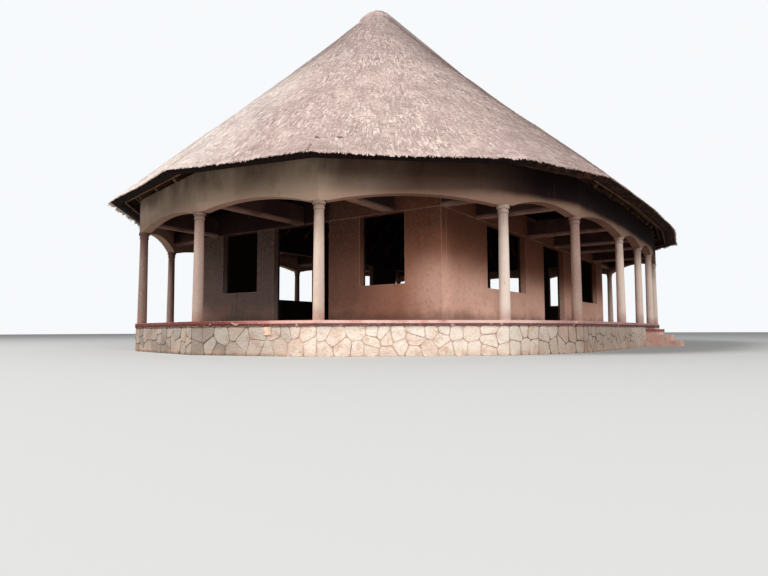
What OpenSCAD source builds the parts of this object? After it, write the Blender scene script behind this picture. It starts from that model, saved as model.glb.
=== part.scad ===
// Thatched oval hall with an open verandah all round, in millimetres.
// X runs across the hall, Y along it and Z up. The origin is on the ground
// below the middle of the hall. The near end is at low Y.
// The plan is a ring of straight bays with a column at every corner. Its corners
// lie on a half circle at each end, joined by straight flanks. Every other outline
// of the plan is this ring scaled about the two end centres.

/* [Plan] */
// Distance of the columns from the middle of the hall and from each end centre
ring_r = 6300; // [6100:50:7000]
// Length of the straight flank between the two end centres
flank_l = 6900; // [6000:50:9000]

/* [Plinth and floor] */
// Height of the stone plinth wall above the ground
plinth_h = 550; // [350:10:900]
// Thickness of the stone plinth wall
plinth_t = 450; // [300:10:600]
// Stone face beyond the column line
plinth_out = 120; // [90:5:200]
// Thickness of the floor slab
slab_t = 110; // [80:5:160]
// Overhang of the slab beyond the stone face
slab_lip = 30; // [10:5:60]

/* [Steps] */
// Number of treads below the slab
tread_count = 3; // [2:1:4]
// Depth of each tread
tread_d = 270; // [240:5:320]
// Width of each flight
steps_w = 1400; // [1000:50:1400]
// Distance of the flights from the middle of the hall
steps_y = 1690; // [1650:10:1730]

/* [Columns] */
// Height of a column with its capital
column_h = 2200; // [1900:10:2600]
// Diameter of the shaft at the floor
shaft_d = 218; // [190:2:280]
// Diameter of the shaft below the capital
neck_d = 184; // [160:2:210]
// Height of the capital
capital_h = 150; // [100:5:220]
// Diameter of the top ring of the capital
capital_d = 246; // [236:2:300]
// Angles of the near corners, from the near tip towards the right
near_angles = [-62.4, -29.6, 0, 24.9, 57.3, 76.3];
// Angles of the far corners, from the far tip towards the left
far_angles = [71.4, 37, 4, -29, -62];
// Places of the right flank columns along the hall
right_places = [-1580, 830, 2550];
// Places of the left flank columns along the hall
left_places = [3250, 0, -3250];

/* [Ring beam] */
// Thickness of the ring beam
beam_t = 220; // [180:5:260]
// Height of the top of the ring beam above the floor
beam_top = 3000; // [2900:10:3300]
// Rise of each flat arch
arch_rise = 165; // [80:5:200]
// Length of beam left flat on each side of a column
arch_foot = 170; // [110:5:180]

/* [Hall] */
// Width of the hall over its walls
hall_w = 7800; // [7300:20:8200]
// Length of the hall over its walls
hall_l = 13500; // [13400:20:13700]
// Thickness of the hall walls
wall_t = 220; // [180:5:300]
// Height of the heads of doors and windows above the floor
head_h = 2400; // [2250:10:2600]
// Height of the window sills above the floor
sill_h = 820; // [600:10:1100]
// Width of each end door
end_door_w = 1800; // [1400:20:2000]
// Width of the end windows left of the door
left_window_w = 1320; // [1000:10:1400]
// Masonry between the left hall corner and the end window
left_pier_w = 1090; // [900:10:1150]
// Width of the end windows right of the door
right_window_w = 1200; // [900:10:1300]
// Masonry between the right hall corner and the end window
right_pier_w = 900; // [700:10:1000]
// Distance of the first side window from the near corner
side_window_a = 2300; // [2000:20:2300]
// Distance of the side door from the near corner
side_door_y = 6400; // [6300:20:6500]
// Distance of the second side window from the near corner
side_window_b = 10000; // [9900:20:10100]
// Width of each side window
side_window_w = 2600; // [2000:20:2600]
// Width of each side door
side_door_w = 2000; // [1500:20:2000]

/* [Tie beams] */
// Width of each tie beam
tie_w = 200; // [150:5:220]
// Depth of each tie beam
tie_h = 450; // [300:10:500]

/* [Roof] */
// Slope of the roof in degrees
roof_slope = 42.5; // [40:0.5:44]
// Diameter of the wall plate pole
plate_d = 92; // [80:2:120]
// Diameter of a rafter pole
rafter_d = 128; // [100:2:140]
// Diameter of a purlin pole
purlin_d = 74; // [50:2:90]
// Diameter of the two battens under the eave
batten_d = 50; // [40:2:60]
// Diameter of the ridge pole
ridge_d = 220; // [180:5:230]
// Radius of the crown hub at each end of the ridge
hub_r = 450; // [430:5:500]
// Height of the crown hub
hub_h = 330; // [280:10:450]
// Number of rafters between the hips of an end bay
bay_rafters = 2; // [1:1:3]
// Number of rafters between the hips of a flank
flank_rafters = 5; // [4:1:7]
// Number of purlin rows
purlin_rows = 7; // [5:1:9]
// Reach of the thatch underside beyond the column line
eave_under = 560; // [540:5:640]
// Reach of the thatch surface beyond the column line
eave_top = 780; // [700:5:860]
// Thickness of the thatch at the eave
thatch_t = 190; // [150:5:240]
// Thickness of the thatch towards the crowns
crown_t = 270; // [240:5:320]
// Hollow of the thatch surface halfway up
thatch_sag = 165; // [0:5:175]
// Half width of the caps on the ridge and the crowns
cap_r = 550; // [480:10:640]
// Height of the crown caps above the underside of the thatch there
crown_h = 228; // [210:2:260]
// Thickness of the crown caps at their middle
cap_t = 100; // [70:5:120]
// Height of the ridge cap above the crown caps
ridge_up = 90; // [20:5:140]

/* [Hidden] */
$fn = 96;

// Heights above the ground
floor_z = plinth_h + slab_t;
spring_z = floor_z + column_h;
head_z = floor_z + head_h;
beam_top_z = floor_z + beam_top;

// Places
end_y = flank_l / 2;
stone_r = ring_r + plinth_out;
hall_x = hall_w / 2;
hall_y = hall_l / 2;
near_apex = [0, -end_y];
far_apex = [0, end_y];

// Column places as points, in order round the ring
function near_point(a) = [ring_r * sin(a), -end_y - ring_r * cos(a)];
function far_point(a) = [ring_r * sin(a), end_y + ring_r * cos(a)];
near_points = [for (a = near_angles) near_point(a)];
right_points = [for (y = right_places) [ring_r, y]];
far_points = [for (a = far_angles) far_point(a)];
left_points = [for (y = left_places) [-ring_r, y]];
ring_points = concat(near_points, right_points, far_points, left_points);
bay_count = len(ring_points);
near_end = len(near_points) - 1;
far_end = len(far_points) - 1;
right_end = len(right_points) - 1;
left_end = len(left_points) - 1;

// A point moved away from an end centre by the factor k
function spread(a, p, k) = a + k * (p - a);

// Corners of the plan scaled by the factor k about the two end centres
function outline(k) = concat(
    [for (p = near_points) spread(near_apex, p, k)],
    [spread(near_apex, right_points[0], k)],
    [spread(far_apex, right_points[right_end], k)],
    [for (p = far_points) spread(far_apex, p, k)],
    [spread(far_apex, left_points[0], k)],
    [spread(near_apex, left_points[left_end], k)]);

// Flat plan shape whose corners lie a given way outside the columns
module plan_shape(out) {
    polygon(outline(1 + out / ring_r));
}

// Corners of each quarter of the plan, every one with the end centre it spreads from
near_run = [for (p = near_points) [near_apex, p]];
far_run = [for (p = far_points) [far_apex, p]];
right_run = [[near_apex, near_points[near_end]], [near_apex, right_points[0]],
    [far_apex, right_points[right_end]], [far_apex, far_points[0]]];
left_run = [[far_apex, far_points[far_end]], [far_apex, left_points[0]],
    [near_apex, left_points[left_end]], [near_apex, near_points[0]]];

function run_line(run, out) = [for (r = run) spread(r[0], r[1], 1 + out / ring_r)];

// A band over one quarter, between two ways outside the columns
module band(run, inner, outer) {
    back = run_line(run, inner);
    polygon(concat(run_line(run, outer), [for (i = [len(run) - 1:-1:0]) back[i]]));
}

seam_w = 4;

// Plinth

module plinth_wall(run) {
    linear_extrude(plinth_h) band(run, plinth_out - plinth_t, plinth_out);
}

module near_stone_plinth() {
    color("#d9c5b4") plinth_wall(near_run);
}

module far_stone_plinth() {
    color("#d9c5b4") plinth_wall(far_run);
}

module side_stone_plinths() {
    color("#d9c5b4") {
        plinth_wall(right_run);
        plinth_wall(left_run);
    }
}

module plinth_fill() {
    color("#8d7a68") linear_extrude(plinth_h) plan_shape(plinth_out - plinth_t);
}

module floor_slab() {
    color("#a8555a") translate([0, 0, plinth_h]) linear_extrude(slab_t)
        plan_shape(plinth_out + slab_lip);
}

// One flight, stepping down outwards from the stone face under the slab lip
module steps(side) {
    riser = floor_z / (tread_count + 1);
    for (i = [1:tread_count]) {
        span = slab_lip + tread_d * i;
        translate([side > 0 ? stone_r : -stone_r - span, steps_y - steps_w / 2, 0])
            cube([span, steps_w, floor_z - riser * i]);
    }
}

module right_steps() {
    color("#b0625f") steps(1);
}

module left_steps() {
    color("#b0625f") steps(-1);
}

// Columns

module column() {
    shaft_h = column_h - capital_h;
    ring_h = capital_h * 0.27;
    bead_d = neck_d + (capital_d - neck_d) * 0.45;
    rotate_extrude($fn = 64) polygon([
        [0, 0], [shaft_d / 2, 0], [neck_d / 2, shaft_h],
        [bead_d / 2, shaft_h], [bead_d / 2, shaft_h + ring_h],
        [neck_d / 2 + 6, shaft_h + ring_h], [neck_d / 2 + 6, column_h - ring_h * 1.6],
        [capital_d / 2, column_h - ring_h * 1.6], [capital_d / 2, column_h], [0, column_h]
    ]);
}

module columns_at(points) {
    for (p = points) translate([p[0], p[1], floor_z]) column();
}

module near_columns() {
    color("#d8c2b4") columns_at(near_points);
}

module far_columns() {
    color("#d8c2b4") columns_at(far_points);
}

module right_columns() {
    color("#d8c2b4") columns_at(right_points);
}

module left_columns() {
    color("#d8c2b4") columns_at(left_points);
}

// Ring beam

// Round cutter whose crown is the flat arch of the bay from p to q
module arch_cutter(p, q) {
    mid = (p + q) / 2;
    gap = norm(q - p);
    half = gap / 2 - arch_foot;
    arch_r = (half * half + arch_rise * arch_rise) / (2 * arch_rise);
    heading = atan2(q[1] - p[1], q[0] - p[0]);
    translate([mid[0], mid[1], spring_z + arch_rise - arch_r]) rotate([0, 0, heading])
        rotate([90, 0, 0]) cylinder(r = arch_r, h = 900, center = true, $fn = 240);
}

// Bays are numbered round the ring from the first near column
module arch_cutters(first, count) {
    for (i = [0:count - 1]) {
        b = first + i;
        arch_cutter(ring_points[b], ring_points[(b + 1) % bay_count]);
    }
}

module beam_wall(run) {
    translate([0, 0, spring_z]) linear_extrude(beam_top_z - spring_z)
        band(run, -beam_t / 2, beam_t / 2);
}

first_right = len(near_angles);
first_far = first_right + len(right_places);
first_left = first_far + len(far_angles);

module near_ring_beam() {
    color("#8f8074") difference() {
        beam_wall(near_run);
        arch_cutters(0, near_end);
    }
}

module right_ring_beam() {
    color("#8f8074") difference() {
        beam_wall(right_run);
        arch_cutters(first_right - 1, right_end + 2);
    }
}

module far_ring_beam() {
    color("#8f8074") difference() {
        beam_wall(far_run);
        arch_cutters(first_far, far_end);
    }
}

module left_ring_beam() {
    color("#8f8074") difference() {
        beam_wall(left_run);
        arch_cutters(first_left - 1, left_end + 2);
    }
}

// Tie beams

// A tie along the hall, from an end wall out to the ring beam
module end_tie(x, side) {
    translate([x - tie_w / 2, side > 0 ? hall_y : -end_y - ring_r, head_z])
        cube([tie_w, end_y + ring_r - hall_y, tie_h]);
}

// A tie across the hall, from a side wall out to the ring beam
module side_tie(y, side) {
    translate([side > 0 ? hall_x : -ring_r, y - tie_w / 2, head_z])
        cube([ring_r - hall_x, tie_w, tie_h]);
}

module inside_beam() {
    translate([0, 0, head_z - 10]) linear_extrude(tie_h + 20) plan_shape(-beam_t / 2);
}

module near_tie_beams() {
    color("#a0897c") intersection() {
        for (i = [1:3]) end_tie(near_points[i][0], -1);
        inside_beam();
    }
}

far_tie_x = min(far_points[1][0], hall_x - tie_w / 2);

module far_tie_beams() {
    color("#a0897c") intersection() {
        for (x = [far_tie_x, far_points[2][0], far_points[3][0]]) end_tie(x, 1);
        inside_beam();
    }
}

corner_tie_y = -hall_y + wall_t / 2;

module right_tie_beams() {
    ends = [corner_tie_y, near_points[near_end][1], far_points[0][1]];
    color("#a0897c") intersection() {
        for (y = concat(ends, right_places)) side_tie(y, 1);
        inside_beam();
    }
}

module left_tie_beams() {
    ends = [near_points[0][1], far_points[far_end][1]];
    color("#a0897c") intersection() {
        for (y = concat(ends, left_places)) side_tie(y, -1);
        inside_beam();
    }
}

// Hall walls

// A wall panel with one window, drawn from its corner along +X, outer face at Y = 0
module wall_panel(length, window_from, window_w) {
    difference() {
        cube([length, wall_t, head_h]);
        translate([window_from, -50, sill_h]) cube([window_w, wall_t + 100, head_h]);
    }
}

end_panel = (hall_w - end_door_w) / 2;
side_near_l = side_door_y - wall_t;
side_far_l = hall_l - side_door_y - side_door_w - wall_t;

// An end panel beside the door, drawn at the near left corner
module end_panel_solid(pier_w, window_w) {
    translate([-hall_x, -hall_y, floor_z]) wall_panel(end_panel, pier_w, window_w);
}

module near_wall_left() {
    color("#b5907f") end_panel_solid(left_pier_w, left_window_w);
}

module near_wall_right() {
    color("#b5907f") mirror([1, 0, 0]) end_panel_solid(right_pier_w, right_window_w);
}

module far_wall_left() {
    color("#b5907f") mirror([0, 1, 0]) end_panel_solid(left_pier_w, left_window_w);
}

module far_wall_right() {
    color("#b5907f") mirror([1, 0, 0]) mirror([0, 1, 0])
        end_panel_solid(right_pier_w, right_window_w);
}

// Side panels run along the hall between the end walls
module side_near_panel() {
    translate([hall_x, wall_t - hall_y, floor_z]) rotate([0, 0, 90])
        wall_panel(side_near_l, side_window_a - wall_t, side_window_w);
}

module side_far_panel() {
    from = side_door_y + side_door_w;
    translate([hall_x, from - hall_y, floor_z]) rotate([0, 0, 90])
        wall_panel(side_far_l, side_window_b - from, side_window_w);
}

module right_wall_near() {
    color("#b5907f") side_near_panel();
}

module right_wall_far() {
    color("#b5907f") side_far_panel();
}

module left_wall_near() {
    color("#b5907f") mirror([1, 0, 0]) side_near_panel();
}

module left_wall_far() {
    color("#b5907f") mirror([1, 0, 0]) side_far_panel();
}

lintel_h = beam_top - head_h;

module end_lintel(side) {
    translate([-hall_x, side > 0 ? hall_y - wall_t : -hall_y, head_z])
        cube([hall_w, wall_t, lintel_h]);
}

module side_lintel(side) {
    translate([side > 0 ? hall_x - wall_t : -hall_x, wall_t - hall_y, head_z])
        cube([wall_t, hall_l - 2 * wall_t, lintel_h]);
}

module near_lintel_beam() {
    color("#a98877") end_lintel(-1);
}

module far_lintel_beam() {
    color("#a98877") end_lintel(1);
}

module right_lintel_beam() {
    color("#a98877") side_lintel(1);
}

module left_lintel_beam() {
    color("#a98877") side_lintel(-1);
}

// Roof

// Every height in the roof falls with the factor k of the plan, so each facet
// over a bay is flat from side to side and the facets meet in hips.
roof_drop = ring_r * tan(roof_slope);
plumb = 1 / cos(roof_slope);
notch_d = 12;
seat_gap = 0.3;
plate_z = beam_top_z + plate_d / 2;
under_ring_z = plate_z + (plate_d / 2 + rafter_d + purlin_d - notch_d) * plumb;
k_under = 1 + eave_under / ring_r;
k_top = 1 + eave_top / ring_r;
k_tail = 1 + (beam_t / 2 + 20) / ring_r;
k_cap = cap_r / ring_r;
function under_z(k) = under_ring_z + roof_drop * (1 - k);
function bow(k) = 1 - pow(2 * k / k_top - 1, 2);
function laid_t(k) = (crown_t + (thatch_t - crown_t) * k / k_top) * plumb;
function top_z(k) = under_z(k) + laid_t(k) - thatch_sag * bow(k);
crown_z = under_z(0) + crown_h;

// A facet is the two ridge points it starts from and the two columns it ends over
near_facets = [for (i = [0:near_end - 1])
    [near_apex, near_apex, near_points[i], near_points[i + 1]]];
far_facets = [for (i = [0:far_end - 1])
    [far_apex, far_apex, far_points[i], far_points[i + 1]]];
right_facets = [
    [near_apex, near_apex, near_points[near_end], right_points[0]],
    [near_apex, far_apex, right_points[0], right_points[right_end]],
    [far_apex, far_apex, right_points[right_end], far_points[0]]];
left_facets = [
    [far_apex, far_apex, far_points[far_end], left_points[0]],
    [far_apex, near_apex, left_points[0], left_points[left_end]],
    [near_apex, near_apex, left_points[left_end], near_points[0]]];
end_facets = concat(near_facets, far_facets);
side_facets = concat(right_facets, left_facets);
near_crown = concat(near_facets, [right_facets[0]], [left_facets[2]]);
far_crown = concat(far_facets, [right_facets[2]], [left_facets[0]]);

function heading(f) = atan2(f[3][1] - f[2][1], f[3][0] - f[2][0]);
function reach(f) = (f[2] - f[0]) * [sin(heading(f)), -cos(heading(f))];
function facet_plumb(f) = 1 / cos(atan(roof_drop / reach(f)));
function on_flank(f) = norm(f[1] - f[0]) > 1;

module facet_wedge(f, k) {
    p = spread(f[0], f[2], k);
    q = spread(f[1], f[3], k);
    if (on_flank(f)) linear_extrude(12000) polygon([f[0], p, q, f[1]]);
    if (!on_flank(f)) linear_extrude(12000) polygon([f[0], p, q]);
}

// A solid over one facet, from a section drawn as points of [k, height]
module facet_solid(f, section) {
    intersection() {
        translate([f[0][0], f[0][1], 0]) rotate([0, 0, heading(f) - 90])
            rotate([90, 0, 0]) linear_extrude(24000, center = true)
                polygon([for (s = section) [s[0] * reach(f), s[1]]]);
        facet_wedge(f, 1.2);
    }
}

// A point under the thatch, sunk by a depth measured straight down
function roof_point(a, p, k, sink) =
    let (s = spread(a, p, k)) [s[0], s[1], under_z(k) - sink];

module pole(p, q, d) {
    run = q - p;
    translate(p) rotate([0, acos(run[2] / norm(run)), atan2(run[1], run[0])])
        cylinder(d = d, h = norm(run), $fn = 32);
}

// A pole from p to q that stops short at both ends
module short_pole(p, q, d, gap) {
    way = (q - p) / norm(q - p);
    pole(p + way * gap, q - way * gap, d);
}

module wall_plate(f) {
    short_pole(concat(f[2], [plate_z]), concat(f[3], [plate_z]), plate_d, 24);
}

module end_wall_plates() {
    color("#6b5440") for (f = end_facets) wall_plate(f);
}

module side_wall_plates() {
    color("#6b5440") for (f = side_facets) wall_plate(f);
}

module crown_hub(apex) {
    hub_top = under_z(hub_r / ring_r) - 40;
    translate([apex[0], apex[1], hub_top - hub_h]) cylinder(r = hub_r, h = hub_h);
    translate([apex[0], apex[1], hub_top - 10])
        cylinder(r = 100, h = ridge_z - ridge_d / 2 - hub_top + 10);
}

module crown_hubs() {
    color("#6b5440") {
        crown_hub(near_apex);
        crown_hub(far_apex);
    }
}

flank_sink = (purlin_d + rafter_d / 2) * plumb + 2 * seat_gap;
ridge_z = under_z(0) - flank_sink;

module ridge_pole() {
    color("#6b5440") translate([0, -end_y - 30, ridge_z]) rotate([-90, 0, 0])
        cylinder(d = ridge_d, h = flank_l + 60, $fn = 48);
}

// Hip poles run from a crown hub down over each corner of the ring
hip_sink = (purlin_d + rafter_d / 2) * max([for (f = end_facets) facet_plumb(f)]) + 2 * seat_gap;

module hip(apex, p) {
    start = roof_point(apex, p, (hub_r - 20) / ring_r, hip_sink);
    pole(start, roof_point(apex, p, k_tail, hip_sink), rafter_d);
}

module hips(apex, corners, bays) {
    difference() {
        for (p = corners) hip(apex, p);
        crown_hub(apex);
        for (f = bays) wall_plate(f);
    }
}

near_corners = concat(near_points, [right_points[0], left_points[left_end]]);
far_corners = concat(far_points, [right_points[right_end], left_points[0]]);

module hip_rafters() {
    color("#6b5440") {
        hips(near_apex, near_corners, concat(near_crown, [right_facets[1], left_facets[1]]));
        hips(far_apex, far_corners, concat(far_crown, [right_facets[1], left_facets[1]]));
    }
}

// Rafters between the hips, fanned on the end facets and from the ridge on the flanks
fan_from = 0.42;

module facet_rafters(f) {
    sink = (purlin_d + rafter_d / 2) * facet_plumb(f) + 2 * seat_gap;
    count = on_flank(f) ? flank_rafters : bay_rafters;
    from = on_flank(f) ? 60 / ring_r : fan_from;
    difference() {
        for (i = [1:count]) {
            t = i / (count + 1);
            top = f[0] + (f[1] - f[0]) * t;
            foot = f[2] + (f[3] - f[2]) * t;
            pole(roof_point(top, foot, from, sink), roof_point(top, foot, k_tail, sink), rafter_d);
        }
        wall_plate(f);
        if (on_flank(f)) ridge_pole();
    }
}

module common_rafters() {
    color("#6b5440") for (f = concat(end_facets, side_facets)) facet_rafters(f);
}

// Purlin rows lie on the rafters under the thatch, and two thin battens under its eave
purlin_first = 760 / ring_r;
purlin_last = 1 + 70 / ring_r;
purlin_step = (purlin_last - purlin_first) / (purlin_rows - 1);

module facet_purlins(f) {
    sink = purlin_d / 2 * facet_plumb(f) + seat_gap;
    for (i = [0:purlin_rows - 1]) {
        k = purlin_first + i * purlin_step;
        short_pole(roof_point(f[0], f[2], k, sink), roof_point(f[1], f[3], k, sink), purlin_d, 22);
    }
    batten_sink = batten_d / 2 * facet_plumb(f) + seat_gap;
    for (out = [eave_under - 300, eave_under - 110]) {
        k = 1 + out / ring_r;
        short_pole(roof_point(f[0], f[2], k, batten_sink), roof_point(f[1], f[3], k, batten_sink),
            batten_d, 22);
    }
}

module end_purlins() {
    color("#6b5440") for (f = end_facets) facet_purlins(f);
}

module side_purlins() {
    color("#6b5440") for (f = side_facets) facet_purlins(f);
}

// Thatch, laid bay by bay: a thin seam runs down every hip
thatch_stops = [for (i = [0:5]) k_cap + (k_top - k_cap) * i / 5];
thatch_section = concat([[0, under_z(0)], [k_under, under_z(k_under)]],
    [for (i = [5:-1:0]) [thatch_stops[i], top_z(thatch_stops[i])]],
    [[0, crown_z - cap_t]]);

module seam(apex, p) {
    way = p - apex;
    translate([apex[0], apex[1], 3000]) rotate([0, 0, atan2(way[1], way[0])])
        translate([-20, -seam_w / 2, 0]) cube([9000, seam_w, 8000]);
}

module laid_facets(facets, section) {
    for (f = facets) difference() {
        facet_solid(f, section);
        seam(f[0], f[2]);
        seam(f[1], f[3]);
    }
}

// On the round ends the hips are rounded away up the slope: the bays swell to one round face
swell_up = 12;
swell_h = 210;
swelled_section = concat([for (i = [0:3]) thatch_section[i]],
    [[0.75, top_z(0.75) + swell_h], [0.3, top_z(0.3) + swell_h], [k_cap, top_z(k_cap)], [0, crown_z - cap_t]]);
round_section = concat([[0, 2000], [1.3, 2000], [1.3, top_z(thatch_stops[4]) + 100]],
    [for (i = [4:-1:1]) [thatch_stops[i], top_z(thatch_stops[i]) + swell_up]],
    [[k_cap, top_z(k_cap) + swell_up], [0, under_z(0) + 900]]);

module round_face(apex) {
    translate([apex[0], apex[1], 0]) rotate_extrude($fn = 360)
        polygon([for (s = round_section) [s[0] * ring_r, s[1]]]);
}

module laid_round(apex, facets) {
    for (f = facets) difference() {
        intersection() {
            facet_solid(f, swelled_section);
            round_face(apex);
        }
        seam(f[0], f[2]);
        seam(f[1], f[3]);
    }
}

module near_thatch() {
    color("#b39a86") laid_round(near_apex, near_facets);
}

module far_thatch() {
    color("#b39a86") laid_round(far_apex, far_facets);
}

module right_thatch() {
    color("#b39a86") laid_facets(right_facets, thatch_section);
}

module left_thatch() {
    color("#b39a86") {
        laid_round(far_apex, [left_facets[0]]);
        laid_facets([left_facets[1]], thatch_section);
        laid_round(near_apex, [left_facets[2]]);
    }
}

// The caps round the two crowns and the ridge between them
cap_foot = [[0, crown_z - cap_t], [k_cap, top_z(k_cap)], [k_cap, top_z(k_cap) + 70]];
crown_section = concat(cap_foot, [[k_cap * 0.86, crown_z - 240],
    [k_cap * 0.6, crown_z - 120], [k_cap * 0.32, crown_z - 25], [0, crown_z]]);
ridge_section = concat(cap_foot, [[k_cap * 0.86, crown_z - 215],
    [k_cap * 0.6, crown_z - 80 + ridge_up / 4], [k_cap * 0.3, crown_z - 20 + ridge_up * 0.7],
    [0, crown_z + ridge_up]]);

module ridge_cap() {
    color("#9a8472") {
        facet_solid(right_facets[1], ridge_section);
        facet_solid(left_facets[1], ridge_section);
    }
}

module apex_caps() {
    color("#9a8472") {
        laid_facets(near_crown, crown_section);
        laid_facets(far_crown, crown_section);
    }
}

near_stone_plinth();
far_stone_plinth();
side_stone_plinths();
plinth_fill();
floor_slab();
right_steps();
left_steps();
near_columns();
far_columns();
right_columns();
left_columns();
near_ring_beam();
far_ring_beam();
right_ring_beam();
left_ring_beam();
near_tie_beams();
far_tie_beams();
right_tie_beams();
left_tie_beams();
near_wall_left();
near_wall_right();
far_wall_left();
far_wall_right();
right_wall_near();
right_wall_far();
left_wall_near();
left_wall_far();
near_lintel_beam();
far_lintel_beam();
right_lintel_beam();
left_lintel_beam();
end_wall_plates();
side_wall_plates();
hip_rafters();
common_rafters();
end_purlins();
side_purlins();
ridge_pole();
crown_hubs();
near_thatch();
far_thatch();
right_thatch();
left_thatch();
ridge_cap();
apex_caps();
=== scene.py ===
# %% [markdown]
# # A thatched oval hall with a verandah
# A many-sided oval hall stands on a stone plinth under one big grass roof. This script
# dresses its measured solids: it keeps each solid that already has the right shape and
# gives it a finish, and it models the straw, the face stones and the drain block anew.
# The first step loads the solids. The dressed hall has to stay inside that box, apart
# from a few centimetres of loose straw.

# %% Load the frame
import math
import random
import bmesh
import bpy
import numpy as np
from mathutils import Euler, Matrix, Vector


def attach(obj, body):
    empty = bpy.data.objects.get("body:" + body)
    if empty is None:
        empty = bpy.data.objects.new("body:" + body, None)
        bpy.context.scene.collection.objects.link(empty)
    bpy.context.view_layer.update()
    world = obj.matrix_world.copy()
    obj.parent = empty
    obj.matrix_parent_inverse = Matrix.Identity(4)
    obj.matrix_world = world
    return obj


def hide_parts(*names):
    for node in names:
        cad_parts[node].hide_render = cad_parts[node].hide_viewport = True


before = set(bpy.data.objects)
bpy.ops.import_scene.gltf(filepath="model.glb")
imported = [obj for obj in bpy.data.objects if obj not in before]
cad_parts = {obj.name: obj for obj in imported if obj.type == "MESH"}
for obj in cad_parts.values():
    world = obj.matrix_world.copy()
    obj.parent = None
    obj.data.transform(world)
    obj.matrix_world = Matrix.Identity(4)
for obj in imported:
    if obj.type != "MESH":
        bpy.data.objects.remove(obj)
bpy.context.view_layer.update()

# %% [markdown]
# ## Camera
# The photograph was taken from low down, ten paces off the near right corner, with a
# wide lens, so the columns spread out and the roof towers over them. A camera could be
# aimed by eye, but known points (column heads, apex, hall corner) give its place exactly,
# so the measured place, turn and lens are written here.

# %% Camera
eye = (9.527, -17.22, 0.458)
tilt, heading, roll = 94.28, 34.0, -0.18
lens_mm, sensor_mm, sight = 27.05, 36.0, 400.0
camera_data = bpy.data.cameras.new("camera")
camera_data.sensor_width = sensor_mm
camera_data.lens = lens_mm
camera_data.clip_end = sight
camera = bpy.data.objects.new("camera", camera_data)
bpy.context.scene.collection.objects.link(camera)
camera.location = eye
camera.rotation_mode = "XYZ"
aim = Euler((math.radians(tilt), 0.0, math.radians(heading)), "XYZ").to_matrix()
camera.rotation_euler = (aim @ Matrix.Rotation(math.radians(roll), 3, "Z")).to_euler("XYZ")
bpy.context.scene.camera = camera
print("camera stands", round(camera.location.length, 1), "metres out")

# %% [markdown]
# ## Floor
# The hall is shown on a plain pale floor, as in a studio. The floor is pale to the
# camera and darker to the light that bounces off it, as ground round a hall is. Two
# colours and the Light Path node do that, where one pale colour would light the eave
# from below.

# %% Floor
def clear_selection():
    if bpy.context.object and bpy.context.object.mode != "OBJECT":
        bpy.ops.object.mode_set(mode="OBJECT")
    bpy.ops.object.select_all(action="DESELECT")


floor_side = 260.0
bounce_tone, seen_tone = (0.34, 0.33, 0.30, 1), (0.46, 0.455, 0.44, 1)
clear_selection()
bpy.ops.mesh.primitive_plane_add(size=floor_side, location=(0, 0, 0))
floor = bpy.context.object
floor.name = "studio_floor"
floor_paint = bpy.data.materials.new("studio_floor")
floor_paint.use_nodes = True
floor_nodes, floor_links = floor_paint.node_tree.nodes, floor_paint.node_tree.links
floor_shader = floor_nodes["Principled BSDF"]
floor_shader.inputs["Roughness"].default_value = 0.9
floor_ray = floor_nodes.new("ShaderNodeLightPath")
floor_pick = floor_nodes.new("ShaderNodeMix")
floor_pick.data_type = "RGBA"
floor_pick.inputs["A"].default_value = bounce_tone
floor_pick.inputs["B"].default_value = seen_tone
floor_links.new(floor_ray.outputs["Is Camera Ray"], floor_pick.inputs["Factor"])
floor_links.new(floor_pick.outputs["Result"], floor_shader.inputs["Base Color"])
floor.data.materials.append(floor_paint)
print("floor:", floor_side, "metres a side")

# %% [markdown]
# ## Light
# Soft daylight comes from high on the front left. One big area lamp gives the soft
# shadows, a weaker one fills the right, and a pale world fills the shade below the eave,
# so a colour renders about as it is written.

# %% Sky and lamps
world = bpy.data.worlds.new("daylight")
bpy.context.scene.world = world
world.use_nodes = True
sky_nodes, sky_links = world.node_tree.nodes, world.node_tree.links
sky_nodes.clear()


def sky_shade(colour, strength):
    node = sky_nodes.new("ShaderNodeBackground")
    node.inputs["Color"].default_value = colour
    node.inputs["Strength"].default_value = strength
    return node.outputs[0]


ray = sky_nodes.new("ShaderNodeLightPath")
pick = sky_nodes.new("ShaderNodeMixShader")
sky_out = sky_nodes.new("ShaderNodeOutputWorld")
sky_links.new(ray.outputs["Is Camera Ray"], pick.inputs["Fac"])
sky_links.new(sky_shade((0.93, 0.96, 1.0, 1), 0.50), pick.inputs[1])
sky_links.new(sky_shade((0.93, 0.95, 0.97, 1), 1.0), pick.inputs[2])
sky_links.new(pick.outputs[0], sky_out.inputs["Surface"])


def add_lamp(name, place, target, size, power):
    data = bpy.data.lights.new(name, "AREA")
    data.shape = "DISK"
    data.size = size
    data.energy = power
    lamp = bpy.data.objects.new(name, data)
    bpy.context.scene.collection.objects.link(lamp)
    lamp.location = place
    lamp.rotation_euler = (Vector(target) - Vector(place)).to_track_quat("-Z", "Y").to_euler()


add_lamp("day_lamp", (-12, -32, 36), (0, -2, 4), size=14.0, power=20000)
add_lamp("fill_lamp", (30, -24, 18), (2, -4, 3), size=20.0, power=7300)
bpy.context.scene.view_settings.view_transform = "Standard"

# %% [markdown]
# ## Shared effects
# Plaster, stone, wood and straw all weather in a few common ways: broad blotches, bands
# of damp, paler worn edges, and a tone of its own for each stone or bundle. Bands and
# edges carry painted light and painted shade as well. Each effect could be rebuilt in
# every material, but a node group with named inputs is made once and placed wherever it
# is needed, with its own values. Every group here gives one mask, 0 where its effect is
# absent and 1 where it is full.

# %% Helpers for nodes
def feed(tree, value, socket):
    """Link an output into a socket, or write a plain value there."""
    if isinstance(value, bpy.types.NodeSocket):
        tree.links.new(value, socket)
    else:
        socket.default_value = value


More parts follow.
